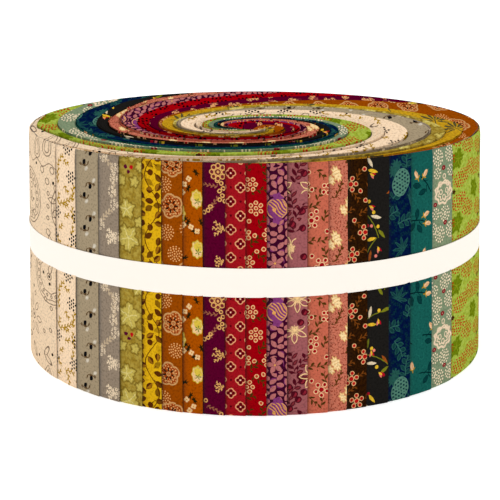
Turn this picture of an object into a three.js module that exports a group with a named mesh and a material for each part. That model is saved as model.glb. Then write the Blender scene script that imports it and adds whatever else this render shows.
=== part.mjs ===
// A roll of quilting fabric strips. The strips of printed cotton stand on edge, are wound
// together into a drum that shows a spiral of bands on its top, and end in laps round its
// wall, each over the next one to the right. A plain paper band holds the roll wound.
// Millimetres, +Z up. The drum stands on z = 0 about the Z axis and its front faces -Y.
import * as THREE from 'three';

// The drum
const stripWidth = 63.5;       // a 2.5 inch strip on edge is the drum's height
const footLine = 64.3;         // radius of the wall where the laps are tucked in, at the foot
const topLine = 63.1;          // the same at the top: the drum spreads a little downwards
const edgeRound = 0.8;         // how far the wall draws in at its top and foot edges

// The laps on the wall
const lapStep = 0.5;           // how far a lap's free edge stands out over the next lap
const lapSlant = 0.4;          // degrees that the step down from a free edge takes
const lapSpacing = 5;          // most degrees between two points round the wall
const backLaps = 21;           // the same fabrics again round the back

// The paper band and the waist that it presses into the wall
const bandFoot = 30.4;
const bandHeight = 7.3;
const bandThickness = 1.0;
const bandClearance = 0.35;
const bandSides = 128;
const waistDepth = 1.1;
const waistEase = 1.4;         // height over which the wall runs back out above and below
const overlapAngle = 13;       // degrees of the band's glued overlap at the back
const overlapRise = 0.4;       // how far the upper end stands out there

// The winding on the top
const windingTurn = 470;       // degrees that each band winds between the rim and the core
const windingPower = 1.5;      // how the winding gathers towards the core
const windingLean = 0.134;     // how far the core lies from the axis, as a share of the radius
const leanBearing = 264;       // the side it lies on, in degrees from +X: towards the front
const innerShare = 0.35;       // share of the radius at which the inner bearings hold
const outerShare = 0.93;       // share of the radius at which the outer bearings hold
const coreShare = 0.05;        // share of the radius at which the bands end in the core
const terraceDepth = 0.7;      // how far each band's inner edge is tucked under its neighbour
const coreDepth = 2.0;         // the small hollow where the winding starts
const seamShare = 0.05;        // share of a band's width that its sloped step takes
const narrowBand = 9;          // a band of fewer degrees lies level with the one outside it
const wideBand = 24;           // a band of more degrees has a line of points down its middle
const ringTurn = 13;           // most degrees of winding between two rings of points
const ringStep = 0.05;         // most of the radius between two rings of points
const rimRingStep = 0.018;     // the same near the rim, where the bands turn to meet it
const rimZone = 0.87;          // share of the radius at which that zone begins
const underside = 18;          // radius of the flat middle of the underside

// The fabrics from left to right across the front. lap is the width of a lap in degrees.
// rim, outer and inner are bearings in degrees of the band's outer edge on the top: at the
// rim, just inside it, and near the core, there with the winding's own turn taken off.
const fabrics = [
  { name: 'cream_rings', lap: 30.0, rim: -133, outer: -133, inner: -138 },
  { name: 'cream_vine', lap: 8.6, rim: -100, outer: -94, inner: -106 },
  { name: 'grey_buds', lap: 7.5, rim: -97, outer: -56, inner: -94 },
  { name: 'grey_sprays', lap: 6.3, rim: -94, outer: -51, inner: -90 },
  { name: 'olive_leaves', lap: 5.8, rim: -84, outer: -32, inner: -78 },
  { name: 'yellow_vine', lap: 5.0, rim: -50, outer: -4, inner: -53 },
  { name: 'rust_scallops', lap: 4.7, rim: 30, outer: 20, inner: -43 },
  { name: 'orange_blossom', lap: 4.7, rim: 39, outer: 30, inner: -36 },
  { name: 'plum_gold', lap: 4.8, rim: 57, outer: 47, inner: -18 },
  { name: 'crimson_crosses', lap: 4.6, rim: 66, outer: 58, inner: -4 },
  { name: 'red_rosettes', lap: 4.6, rim: 73, outer: 65, inner: 8 },
  { name: 'purple_petals', lap: 4.6, rim: 84, outer: 75, inner: 24 },
  { name: 'mauve_bows', lap: 4.5, rim: 91, outer: 82, inner: 30 },
  { name: 'pink_berries', lap: 4.7, rim: 94, outer: 85, inner: 54 },
  { name: 'pink_sprays', lap: 4.6, rim: 97, outer: 88, inner: 74 },
  { name: 'brown_berries', lap: 5.0, rim: 99, outer: 91, inner: 78 },
  { name: 'black_sprigs', lap: 5.8, rim: 115, outer: 107, inner: 98 },
  { name: 'navy_fruit', lap: 6.3, rim: 125, outer: 121, inner: 120 },
  { name: 'teal_tulips', lap: 7.4, rim: 130, outer: 128, inner: 128 },
  { name: 'sage_lace', lap: 8.4, rim: 143, outer: 150, inner: 152 },
  { name: 'lime_leaves', lap: 30.0, rim: 162, outer: 190, inner: 190 },
];

const degrees = (angle) => (angle * Math.PI) / 180;
const mix = THREE.MathUtils.lerp;
const ease = THREE.MathUtils.smoothstep;

// Radius of the wall at a height, where a lap is tucked under its neighbour
function wallLine(z) {
  return mix(footLine, topLine, z / stripWidth);
}

// A mesh under construction: points and the triangles between them
function newSkin() {
  return { points: [], faces: [] };
}

function addRing(skin, ringPoints) {
  return ringPoints.map(([x, y, z]) => skin.points.push([x, y, z]) - 1);
}

// Joins two rings of equal count; the second lies inwards of, or above, the first
function joinRings(skin, first, second) {
  const count = first.length;
  for (let i = 0; i < count; i += 1) {
    const next = (i + 1) % count;
    skin.faces.push([first[i], first[next], second[i]]);
    skin.faces.push([first[next], second[next], second[i]]);
  }
}

// Joins an outer ring to an inner one of another count, in the order of their bearings
function stitchRings(skin, outer, inner, facesUp) {
  const bearing = (index) => {
    const [x, y] = skin.points[index];
    return (Math.atan2(y, x) + 2 * Math.PI) % (2 * Math.PI);
  };
  const sorted = (ring) => [...ring].sort((a, b) => bearing(a) - bearing(b));
  const outerRing = sorted(outer);
  const innerRing = sorted(inner);
  const at = (ring, i) => ring[i % ring.length];
  const turned = (ring, i) => bearing(at(ring, i)) + (i >= ring.length ? 2 * Math.PI : 0);
  const addFace = (a, b, c) => skin.faces.push(facesUp ? [a, b, c] : [a, c, b]);
  let i = 0;
  let j = 0;
  while (i < outerRing.length || j < innerRing.length) {
    const outerTurn = i < outerRing.length ? turned(outerRing, i + 1) : Infinity;
    const innerTurn = j < innerRing.length ? turned(innerRing, j + 1) : Infinity;
    if (outerTurn <= innerTurn) {
      addFace(at(outerRing, i), at(outerRing, i + 1), at(innerRing, j));
      i += 1;
    } else {
      addFace(at(outerRing, i), at(innerRing, j + 1), at(innerRing, j));
      j += 1;
    }
  }
}

function closeWithPoint(skin, ring, point) {
  const centre = skin.points.push(point) - 1;
  ring.forEach((index, i) => skin.faces.push([index, ring[(i + 1) % ring.length], centre]));
}

function toGeometry(skin) {
  const geometry = new THREE.BufferGeometry();
  geometry.setAttribute('position', new THREE.Float32BufferAttribute(skin.points.flat(), 3));
  geometry.setIndex(skin.faces.flat());
  geometry.computeVertexNormals();
  return geometry;
}

// Points round the wall: their angle from the front's middle and how far the lap stands out
function lapPoints() {
  const frontAngle = fabrics.reduce((sum, fabric) => sum + fabric.lap, 0);
  const backLap = (360 - frontAngle) / backLaps;
  const widths = fabrics.map((fabric) => fabric.lap).concat(Array(backLaps).fill(backLap));
  const points = [];
  let start = -frontAngle / 2;
  for (const width of widths) {
    const steps = Math.ceil(width / lapSpacing);
    for (let s = 0; s <= steps; s += 1) {
      const share = s / steps;
      points.push({ angle: start + share * (width - lapSlant), lift: share });
    }
    start += width;
  }
  return points;
}

// The wall's levels: how far each draws in from the wall line and how much of a lap shows
const bandTop = bandFoot + bandHeight;
const wallLevels = [
  { z: 0, inset: edgeRound, lap: 0.5 },
  { z: edgeRound, inset: 0, lap: 1 },
  { z: bandFoot - waistEase, inset: 0, lap: 1 },
  { z: bandFoot - bandClearance, inset: waistDepth, lap: 0 },
  { z: bandTop + bandClearance, inset: waistDepth, lap: 0 },
  { z: bandTop + waistEase, inset: 0, lap: 1 },
  { z: stripWidth - edgeRound, inset: 0, lap: 1 },
  { z: stripWidth - edgeRound / 4, inset: edgeRound, lap: 0.5 },
];

function wallRing(points, level) {
  return points.map(({ angle, lift }) => {
    const radius = wallLine(level.z) - level.inset + lapStep * lift * level.lap;
    const turn = degrees(angle);
    return [radius * Math.sin(turn), -radius * Math.cos(turn), level.z];
  });
}

// Bearing of a band's outer edge at a share of the radius, before the winding's turn
function bandBearing(fabric, share) {
  const inside = mix(fabric.inner, fabric.outer, ease(share, innerShare, outerShare));
  return inside + (fabric.rim - fabric.outer) * ease(share, outerShare, 1);
}

// The bands that are raised, in order anticlockwise, each with the band just inside it
function raisedBands() {
  const bands = [];
  let inside = { ...fabrics[0] };
  for (const fabric of fabrics.slice(1)) {
    if (fabric.inner - inside.inner >= narrowBand) {
      bands.push({ outerEdge: fabric, innerEdge: inside });
      inside = fabric;
    }
  }
  const { rim, outer, inner } = fabrics[0];
  const firstAgain = { rim: rim + 360, outer: outer + 360, inner: inner + 360 };
  bands.push({ outerEdge: firstAgain, innerEdge: inside });
  return bands;
}

// Lines of points along the bands: between which edges, how far across, and how high
function windingLines() {
  const lines = [];
  for (const { outerEdge, innerEdge } of raisedBands()) {
    const wide = outerEdge.inner - innerEdge.inner > wideBand;
    const shares = wide ? [0, 0.5, 1] : [0, 1];
    for (const across of shares) {
      lines.push({ outerEdge, innerEdge, across });
    }
  }
  return lines;
}

// Shares of the radius at which rings of points lie, from the rim to the core
function ringShares() {
  const shares = [];
  let share = 1;
  while (share > coreShare) {
    shares.push(share);
    const turnRate = windingPower * windingTurn * (1 - share) ** (windingPower - 1);
    const step = share > rimZone ? rimRingStep : ringStep;
    share -= Math.min(step, ringTurn / Math.max(turnRate, 1));
  }
  shares.push(coreShare);
  return shares;
}

// Moves a point of the unit disc so that the winding's core leans and its rim stays round
function lean(x, y) {
  const along = [Math.cos(degrees(leanBearing)), Math.sin(degrees(leanBearing))];
  const u = x * along[0] + y * along[1];
  const v = -x * along[1] + y * along[0];
  const scale = 1 / (1 + windingLean * u);
  const leantU = (u + windingLean) * scale;
  const leantV = v * Math.sqrt(1 - windingLean ** 2) * scale;
  return [leantU * along[0] - leantV * along[1], leantU * along[1] + leantV * along[0]];
}

function windingRing(lines, share, radius) {
  const turn = windingTurn * (1 - share) ** windingPower;
  const depth = terraceDepth * ease(share, 0, 3 * coreShare);
  return lines.map(({ outerEdge, innerEdge, across }) => {
    const spread = mix(seamShare, 1 - seamShare, across);
    const bearing = mix(bandBearing(innerEdge, share), bandBearing(outerEdge, share), spread);
    const angle = degrees(bearing + turn);
    const [x, y] = lean(share * Math.cos(angle), share * Math.sin(angle));
    return [radius * x, radius * y, stripWidth - depth * (1 - across)];
  });
}

// The wound strips: laps round the wall, terraces of bands on the top, a flat underside
function fabricRoll() {
  const skin = newSkin();
  const laps = lapPoints();
  const wallRings = wallLevels.map((level) => addRing(skin, wallRing(laps, level)));
  for (let i = 1; i < wallRings.length; i += 1) {
    joinRings(skin, wallRings[i - 1], wallRings[i]);
  }
  const lines = windingLines();
  const faceRadius = topLine - 2 * edgeRound;
  const rings = ringShares().map((share) => addRing(skin, windingRing(lines, share, faceRadius)));
  stitchRings(skin, wallRings.at(-1), rings[0], true);
  for (let i = 1; i < rings.length; i += 1) {
    joinRings(skin, rings[i - 1], rings[i]);
  }
  const [coreX, coreY] = lean(0, 0);
  closeWithPoint(skin, rings.at(-1), [coreX * faceRadius, coreY * faceRadius, stripWidth - coreDepth]);
  const middle = [0, 72, 144, 216, 288].map(degrees).map((turn) => [
    underside * Math.cos(turn), underside * Math.sin(turn), 0]);
  const [a, b, c, d, e] = addRing(skin, middle);
  stitchRings(skin, wallRings[0], [a, b, c, d, e], false);
  skin.faces.push([a, c, b], [a, d, c], [a, e, d]);
  return toGeometry(skin);
}

// The paper band: a ring that fits the waist, thicker where its ends overlap at the back
function paperBand() {
  const innerRadius = wallLine(bandFoot) - waistDepth + bandClearance;
  const outerRadius = innerRadius + bandThickness;
  const outline = new THREE.Shape();
  const hole = new THREE.Path();
  for (let i = 0; i < bandSides; i += 1) {
    const angle = (360 * i) / bandSides;
    const overlapped = Math.abs(angle - 90) < overlapAngle / 2;
    const radius = outerRadius + (overlapped ? overlapRise : 0);
    const turn = degrees(angle);
    const place = i === 0 ? 'moveTo' : 'lineTo';
    outline[place](radius * Math.cos(turn), radius * Math.sin(turn));
    hole[place](innerRadius * Math.cos(turn), innerRadius * Math.sin(turn));
  }
  outline.closePath();
  hole.closePath();
  outline.holes.push(hole);
  const geometry = new THREE.ExtrudeGeometry(outline, { depth: bandHeight, bevelEnabled: false });
  return geometry.translate(0, 0, bandFoot);
}

function addPiece(parent, name, geometry, look) {
  const mesh = new THREE.Mesh(geometry, new THREE.MeshStandardMaterial(look));
  mesh.name = name;
  parent.add(mesh);
}

const group = new THREE.Group();
addPiece(group, 'fabric_roll', fabricRoll(), { color: '#a8485a', roughness: 0.9, metalness: 0 });
addPiece(group, 'paper_band', paperBand(), { color: '#fffcf0', roughness: 0.6, metalness: 0 });

export default group;
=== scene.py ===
import math
from typing import NamedTuple

import bpy
import numpy as np
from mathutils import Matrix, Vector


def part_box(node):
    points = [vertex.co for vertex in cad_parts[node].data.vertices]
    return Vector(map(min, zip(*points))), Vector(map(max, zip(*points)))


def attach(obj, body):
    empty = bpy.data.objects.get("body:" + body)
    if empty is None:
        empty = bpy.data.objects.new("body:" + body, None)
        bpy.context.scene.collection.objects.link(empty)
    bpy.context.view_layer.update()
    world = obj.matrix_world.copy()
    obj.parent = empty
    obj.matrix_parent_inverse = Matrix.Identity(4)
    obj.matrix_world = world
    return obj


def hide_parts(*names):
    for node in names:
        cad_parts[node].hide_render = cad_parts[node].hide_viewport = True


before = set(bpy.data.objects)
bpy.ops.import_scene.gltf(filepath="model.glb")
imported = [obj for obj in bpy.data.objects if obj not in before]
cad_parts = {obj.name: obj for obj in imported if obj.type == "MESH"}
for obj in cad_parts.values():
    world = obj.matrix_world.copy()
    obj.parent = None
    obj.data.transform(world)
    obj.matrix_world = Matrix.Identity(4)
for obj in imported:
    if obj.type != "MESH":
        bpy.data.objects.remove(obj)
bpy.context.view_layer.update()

# Sizes are in metres, and MM turns a size in millimetres into metres. Prints are in mm.
MM = 0.001

# The drum: the radius of a lap's tucked edge at the foot and at the top
STRIP_WIDTH = float(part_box("fabric_roll")[1][2])
FOOT_LINE = 65.05 * MM
TOP_LINE = 63.05 * MM

# The camera, as fitted to the photograph
CAMERA_DISTANCE = 395.0 * MM
CAMERA_ELEVATION = math.radians(14.44)
CAMERA_AIM = 25.9 * MM
CAMERA_LENS = 97.97
CAMERA_SHIFT = -0.0090

# The studio: strengths of the world and the floor's glow, power, size and place of the lamps
WORLD_LIGHT = 0.77
FLOOR_SIZE = 3.0
FLOOR_GLOW = 0.41
LAMPS = dict(key=(2.2, 0.5, (-0.55, -0.6, 0.7)), overhead=(5.8, 1.0, (0, -0.001, 1.25)))

# The laps on the wall: each lies over the one on its right. Its free edge stands out by the
# step and waves by the lift and the wander, and a wedge of it fills the room under its neighbour.
LAP_STEP = 0.3 * MM
LAP_CLOTH = 0.22 * MM
LAP_FACET = 1.4
LAP_ROWS = 34
EASE_ROWS = 7
LAP_LIFT = 0.05 * MM
LAP_WANDER = 0.05 * MM
WANDER_HEIGHT = 9 * MM
LAP_SAG = 0.04 * MM
LAP_SEAT = 0.02 * MM
LEAST_WEDGE = 0.04 * MM
LEAST_CLOTH = 0.03 * MM
BACK_LAPS = 21
BACK_PRINT_START = 3.0
EDGE_ROUND = 0.2 * MM
WINDING_GAP = 0.01 * MM
SHOULDER = 2.0 * MM
SHOULDER_FLAT = 0.8

# How much longer a print runs round the wall on the two wide laps, and back across the top
WIDE_LAP = 20.0
WIDE_STRETCH = 1.5
TOP_STRETCH = 3.2

# The paper band and the waist that it presses into the laps
BAND_FOOT, BAND_TOP = (float(corner[2]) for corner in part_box("paper_band"))
PAPER = 0.2 * MM
PAPER_GAP = 0.03 * MM
PAPER_OVERLAP = 13.0
PAPER_SIDES = 240
WAIST_DEPTH = 0.15 * MM
WAIST_FLAT = 0.5
WAIST_EASE = 1.5 * MM
WAIST_THIN = 0.2

# The winding on the top: it turns and leans as the solid's does
WINDING_TURN = 470.0
WINDING_POWER = 1.5
WINDING_LEAN = 0.134
LEAN_BEARING = math.radians(264.0)
FACE_RADIUS = 63.4 * MM
CROWD_SHARE = 0.80
CORE_SHARE = 0.03
CORE_DIP = 1.5 * MM
SEAM_SHARE = 0.02
ROW_TURN = 3.0
ROW_STEP = 0.012
RIM_ROW_STEP = 0.006
RIM_ZONE = 0.87

# Where a band's edge turns, as shares of the radius: away from the core, by how much later in
# the bands that lie furthest round, then outwards from the middle, and last at the lip
INNER_TURN = (0.09, 0.26)
LATE_TURN = (0.09, 0.16)
LATE_BEARING = 140.0
OUTER_FROM = 0.42
LIP_SHARE = 0.965

# The plies of a band: its terrace, and each ply's groove, crest and unevenness
PLY_DEGREES = 2.2
PLY_PROFILE = np.array([0, 0.28, 0.72])
PLY_CREST = (0, 1, 1)
PLY_GROOVE = 0.09 * MM
PLY_UNEVEN = 0.10 * MM
PLY_OFFSET = 0.6
PLY_WAVE = 0.4
WAVES_PER_TURN = 2.3
TERRACE = 0.5 * MM
FLUSH_ZONE = 0.965
FLUSH = 0.93
FOOT_RELIEF = 0.5
# The painted crease shade on the top starts this far past a band's inner edge, so it is fainter there
TOP_PAINTED_SHADE_START = 0.35 * MM

# The weave and the shades of a cotton, and the shade painted into its colour along its creases. A pale or
# green one gets a lighter painted shade in its creases.
ROUGHNESS = 0.92
DYE_SCALE = 1.7
DYE_SHADE = 1.2
DYE_START = -0.56
THREAD_PITCH = 0.42
WEAVE_DEPTH = 0.03 * MM
WEAVE_STRENGTH = 0.35
# Painted crease shade: how fast it fades away from an edge, how much of it is mixed in, and its colours
PAINTED_SHADE_FADE = 1.9
PAINTED_SHADE_MIX = 0.75
DARK_PAINTED_SHADE = (0.012, 0.011, 0.01)
PALE_PAINTED_SHADE = (0.10, 0.10, 0.10)
LIME_PAINTED_SHADE = (0.03, 0.035, 0.01)


class Fabric(NamedTuple):
    """The width of a cotton's lap in degrees, and its band on the top

    Rim, outer, inner and core are bearings of the band's outer edge, before the winding's turn.
    Hold gives the shares of the radius where the outer bearing is reached, left, and the rim's
    reached. Lip is a last turn at the very rim. Shift moves the print on the top, in mm.
    """
    name: str
    lap: float
    rim: float
    outer: float
    inner: float
    core: float
    hold: tuple = (0.93, 0.93, 1.0)
    lip: float = 0
    shift: tuple = (0, 0)


# The fabrics from left to right across the front
FABRICS = [
    Fabric("cream_rings", 40.0, -158, -134, -133, -140, shift=(0, -7.5)),
    Fabric("cream_vine", 8.5, -122, -90, -95, -112, (0.6, 0.72, 0.98), lip=-16),
    Fabric("grey_buds", 7.8, -103, -50, -87, -102, (0.62, 0.76, 0.86), shift=(42, -1.5)),
    Fabric("grey_sprays", 6.1, -99, -46, -84, -94, (0.62, 0.77, 0.86)),
    Fabric("olive_leaves", 6.0, -83, -32, -75, -82, (0.62, 0.85, 0.92)),
    Fabric("yellow_vine", 4.9, -67, -6, -47, -62, (0.78, 0.92, 0.97), shift=(51.7, 1.1)),
    Fabric("rust_scallops", 5.0, 41, 38, -40, -36),
    Fabric("orange_blossom", 4.6, 43, 40, -38, -12),
    Fabric("plum_gold", 4.9, 62, 60, -18, 60),
    Fabric("crimson_crosses", 4.5, 72, 70, -8, 95),
    Fabric("red_rosettes", 4.6, 82, 80, 3, 128),
    Fabric("purple_petals", 4.5, 96, 93, 26, 138),
    Fabric("mauve_bows", 4.5, 97, 94, 28, 140),
    Fabric("pink_berries", 4.75, 98, 95, 30, 142),
    Fabric("pink_sprays", 4.5, 106, 71, 72, 148, (0.5, 0.66, 0.93), shift=(-40.6, -6.5)),
    Fabric("brown_berries", 4.9, 107, 73, 74, 150, (0.5, 0.66, 0.93)),
    Fabric("black_sprigs", 5.7, 117, 94, 102, 156, (0.6, 0.72, 0.93), shift=(0, -56.3)),
    Fabric("navy_fruit", 6.4, 126, 132, 122, 166, (0.55, 0.66, 0.84)),
    Fabric("teal_tulips", 7.3, 127, 135, 125, 169, (0.55, 0.66, 0.84)),
    Fabric("sage_lace", 8.25, 140, 162, 147, 186, (0.62, 0.78, 1.0)),
    Fabric("lime_leaves", 40.9, 176, 204, 193, 206, (0.62, 0.80, 0.90), lip=-17, shift=(-62, -6)),
]


def ease(x, low, high):
    t = np.clip((np.asarray(x, float) - low) / (high - low), 0, 1)
    return t * t * (3 - 2 * t)


def linear(rgb):
    """A screen colour, 0 to 255, as Blender's linear colour"""
    parts = [c / 255 for c in rgb]
    return tuple(c / 12.92 if c <= 0.04045 else ((c + 0.055) / 1.055) ** 2.4 for c in parts)


def make_camera():
    """The photograph's view: a little above the drum, from its front"""
    data = bpy.data.cameras.new("camera")
    data.lens = CAMERA_LENS
    data.sensor_width = 36.0
    data.shift_x = CAMERA_SHIFT
    camera = bpy.data.objects.new("camera", data)
    bpy.context.collection.objects.link(camera)
    back = CAMERA_DISTANCE * math.cos(CAMERA_ELEVATION)
    camera.location = (0, -back, CAMERA_AIM + CAMERA_DISTANCE * math.sin(CAMERA_ELEVATION))
    camera.rotation_euler = (math.pi / 2 - CAMERA_ELEVATION, 0, 0)
    bpy.context.scene.camera = camera


def make_floor():
    mesh = bpy.data.meshes.new("floor")
    corners = [(FLOOR_SIZE * x, FLOOR_SIZE * y, 0) for x, y in ((-1, -1), (1, -1), (1, 1), (-1, 1))]
    mesh.from_pydata(corners, [], [(0, 1, 2, 3)])
    floor = bpy.data.objects.new("floor", mesh)
    bpy.context.collection.objects.link(floor)
    look = bpy.data.materials.new("floor")
    look.use_nodes = True
    shader = look.node_tree.nodes["Principled BSDF"]
    shader.inputs["Base Color"].default_value = (0.95, 0.95, 0.95, 1)
    shader.inputs["Roughness"].default_value = 0.9
    shader.inputs["Emission Color"].default_value = (1, 1, 1, 1)
    shader.inputs["Emission Strength"].default_value = FLOOR_GLOW
    mesh.materials.append(look)


def make_lamp(name, power, size, place):
    """A soft lamp that looks at the drum's middle"""
    light = bpy.data.lights.new(name, "AREA")
    light.energy = power
    light.size = size
    lamp = bpy.data.objects.new(name, light)
    bpy.context.collection.objects.link(lamp)
    lamp.location = place
    aim = np.array([0, 0, 30 * MM]) - np.array(place)
    yaw = math.atan2(aim[0], -aim[1])
    lamp.rotation_euler = (math.acos(-aim[2] / np.linalg.norm(aim)), 0, yaw)


def make_light():
    world = bpy.data.worlds.new("world")
    bpy.context.scene.world = world
    world.use_nodes = True
    background = world.node_tree.nodes["Background"]
    background.inputs["Color"].default_value = (1, 1, 1, 1)
    background.inputs["Strength"].default_value = WORLD_LIGHT
    for name, lamp in LAMPS.items():
        make_lamp(name, *lamp)
    bpy.context.scene.view_settings.view_transform = "Standard"


def wall_line(z):
    return FOOT_LINE + (TOP_LINE - FOOT_LINE) * z / STRIP_WIDTH


def winding_line(z):
    """The radius of the wound strips, just inside the laps"""
    return wall_line(z) - LAP_CLOTH - WINDING_GAP


def new_piece(name, points, faces, maps, look, node="fabric_roll"):
    """A mesh piece with its UV maps, one pair of numbers for each point"""
    mesh = bpy.data.meshes.new(name)
    mesh.from_pydata(points.tolist(), [], faces.tolist())
    corner_points = np.empty(len(mesh.loops), np.int64)
    mesh.loops.foreach_get("vertex_index", corner_points)
    for map_name, values in maps.items():
        layer = mesh.uv_layers.new(name=map_name)
        layer.data.foreach_set("uv", np.asarray(values, np.float32)[corner_points].ravel())
    mesh.materials.append(look)
    mesh.polygons.foreach_set("use_smooth", np.ones(len(mesh.polygons), bool))
    mesh.set_sharp_from_angle(angle=math.radians(50))
    mesh.update()
    piece = bpy.data.objects.new(name, mesh)
    bpy.context.collection.objects.link(piece)
    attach(piece, "root")
    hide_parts(node)
    return piece


def slab_faces(rows, columns):
    """Faces of a closed slab whose two skins are grids of rows by columns points"""
    index = np.arange(rows * columns).reshape(rows, columns)
    under = index + rows * columns

    def patch(a, b, c, d):
        return np.stack([a, b, c, d], -1).reshape(-1, 4)

    def rim(first, second):
        return patch(first[:-1], second[:-1], second[1:], first[1:])

    return np.concatenate([
        patch(index[:-1, :-1], index[1:, :-1], index[1:, 1:], index[:-1, 1:]),
        patch(under[:-1, :-1], under[:-1, 1:], under[1:, 1:], under[1:, :-1]),
        rim(index[:, 0], under[:, 0])[:, ::-1],
        rim(index[:, -1], under[:, -1]),
        rim(index[0], under[0]),
        rim(index[-1], under[-1])[:, ::-1],
    ])


def lap_levels():
    """Heights of the rows of points up a lap, closer at its edges and by the paper band"""
    plain = np.linspace(0, STRIP_WIDTH, LAP_ROWS)
    fine = [EDGE_ROUND, 2 * EDGE_ROUND, STRIP_WIDTH - EDGE_ROUND, STRIP_WIDTH - 2 * EDGE_ROUND]
    for edge in (BAND_FOOT, BAND_TOP):
        fine += list(edge + np.linspace(-WAIST_EASE, WAIST_EASE, EASE_ROWS))
    fine += list(STRIP_WIDTH - np.linspace(0, SHOULDER, EASE_ROWS))
    return np.unique(np.round(np.concatenate([plain, fine]), 6))


def pressed_share(z):
    """1 where the paper band presses the laps in, 0 away from it"""
    above = ease(z, BAND_FOOT - WAIST_EASE / 2, BAND_FOOT + WAIST_EASE / 2)
    return above * (1 - ease(z, BAND_TOP - WAIST_EASE / 2, BAND_TOP + WAIST_EASE / 2))


def lap_step(z):
    """How far a lap's free edge stands out: less where the band presses it and at the rim"""
    shoulder = ease(z, STRIP_WIDTH - SHOULDER, STRIP_WIDTH)
    return LAP_STEP * (1 - WAIST_FLAT * pressed_share(z)) * (1 - SHOULDER_FLAT * shoulder)


def make_lap(name, look, start, width, tuck, print_start, seed):
    """One strip's end: a wedge that fills the room under its left neighbour, then the lap itself"""
    rng = np.random.default_rng(seed)
    z = lap_levels()
    under = -np.linspace(1, 0, 4)[:-1] * tuck / width
    share = np.concatenate([under, np.linspace(0, 1, max(4, math.ceil(width / LAP_FACET)) + 1)])
    shown = np.clip(share, 0, 1)[None]
    pressed = pressed_share(z)[:, None]
    phase = rng.uniform(0, 2 * math.pi, 4)
    height = z[:, None] / STRIP_WIDTH
    wave = sum(np.sin(height * 2 * math.pi * k + phase[k - 1]) / k for k in (1, 2, 3))
    lifted = LAP_LIFT * wave * (1 - pressed)
    wander = LAP_WANDER * np.sin(z[:, None] / WANDER_HEIGHT + phase[3]) / FOOT_LINE
    line = wall_line(z)[:, None]
    seat = winding_line(z)[:, None] + LAP_SEAT
    low_edge = np.maximum(EDGE_ROUND - z, z - (STRIP_WIDTH - EDGE_ROUND)).clip(0)
    edge = (low_edge**2 / EDGE_ROUND)[:, None]
    step = lap_step(z)[:, None]
    outside = line + step * shown + lifted * shown**2
    inside = outside - LAP_CLOTH * (1 - WAIST_THIN * pressed)
    left_share = 1 + share[None] * width / tuck
    neighbour_inside = line - LAP_CLOTH - LEAST_CLOTH + step * left_share
    hidden = share[None] < 0
    outside = np.where(hidden, np.minimum(neighbour_inside, line), outside)
    outside = np.maximum(outside, seat + LEAST_WEDGE)
    inside = np.where(hidden, seat, inside)
    inside = np.minimum(inside, outside - LEAST_CLOTH)
    angle = np.radians(start + width * share)[None] + wander * shown
    level = np.repeat(z[:, None], len(share), 1)
    level = level - rng.uniform(0, LAP_SAG) * ease(level, 0.9 * STRIP_WIDTH, STRIP_WIDTH)
    skins = []
    for r in (outside - edge - WAIST_DEPTH * pressed, inside - WAIST_DEPTH * pressed):
        skins.append(np.stack([r * np.sin(angle), -r * np.cos(angle), level], -1).reshape(-1, 3))
    points = np.concatenate(skins)
    stretch = WIDE_STRETCH if width > WIDE_LAP else 1.0
    along = np.repeat((np.radians(width * share) * FOOT_LINE / MM)[None], len(z), 0).ravel()
    up = (level / MM).ravel()
    print_map = np.stack([along / stretch + print_start, up], -1)
    # The distance from the tucked edge, which drives the painted crease shade
    painted_shade_map = np.stack([along, up], -1)
    maps = dict(print=np.tile(print_map, (2, 1)), crease=np.tile(painted_shade_map, (2, 1)))
    return new_piece(name, points, slab_faces(len(z), len(share))[:, ::-1], maps, look)


def make_laps(looks):
    """The fabrics across the front, then again in narrower laps round the back"""
    front_angle = sum(fabric.lap for fabric in FABRICS)
    back_width = (360 - front_angle) / BACK_LAPS
    front = [("lap", fabric.name, fabric.lap, 0.0, 100 + i) for i, fabric in enumerate(FABRICS)]
    back = [("back_lap", fabric.name, back_width, BACK_PRINT_START, 200 + i)
            for i, fabric in enumerate(FABRICS)]
    start, tuck = -front_angle / 2, back_width
    for side, name, width, print_start, seed in front + back:
        make_lap(f"{side}_{name}", looks[name], start, width, tuck, print_start, seed)
        start, tuck = start + width, width


def bearing(fabric, share):
    """Where the band's outer edge lies: it moves from its core bearing over the inner and the
    outer one to the rim's, and some bands turn a little more at the very rim"""
    out_by, leave_at, rim_at = fabric.hold
    far = min(max(fabric.inner / LATE_BEARING, 0), 1)
    low, high = (at + far * late for at, late in zip(INNER_TURN, LATE_TURN))
    value = fabric.core + (fabric.inner - fabric.core) * ease(share, low, high)
    value = value + (fabric.outer - fabric.inner) * ease(share, OUTER_FROM, out_by)
    value = value + (fabric.rim - fabric.outer) * ease(share, leave_at, rim_at)
    return value + fabric.lip * ease(share, LIP_SHARE, 1)


def lean(x, y):
    """Moves points of the unit disc so that the winding's core leans and its rim stays round"""
    c, s = math.cos(LEAN_BEARING), math.sin(LEAN_BEARING)
    u, v = x * c + y * s, -x * s + y * c
    scale = 1 / (1 + WINDING_LEAN * u)
    u, v = (u + WINDING_LEAN) * scale, v * math.sqrt(1 - WINDING_LEAN**2) * scale
    return u * c - v * s, u * s + v * c


def crowded(shares, rim_radius):
    """What a share is multiplied by to give a radius: the bands near the rim lie closer together"""
    return (FACE_RADIUS + (rim_radius - FACE_RADIUS) * ease(shares, CROWD_SHARE, 1))[:, None]


def row_shares():
    """Shares of the drum's radius where the winding has points, from the rim to the core"""
    shares = [1.0]
    while shares[-1] > CORE_SHARE:
        share = shares[-1]
        rate = WINDING_POWER * WINDING_TURN * (1 - share) ** (WINDING_POWER - 1)
        step = RIM_ROW_STEP if share > RIM_ZONE else ROW_STEP
        shares.append(share - min(step, ROW_TURN / max(rate, 1)))
    return np.array(shares)


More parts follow.
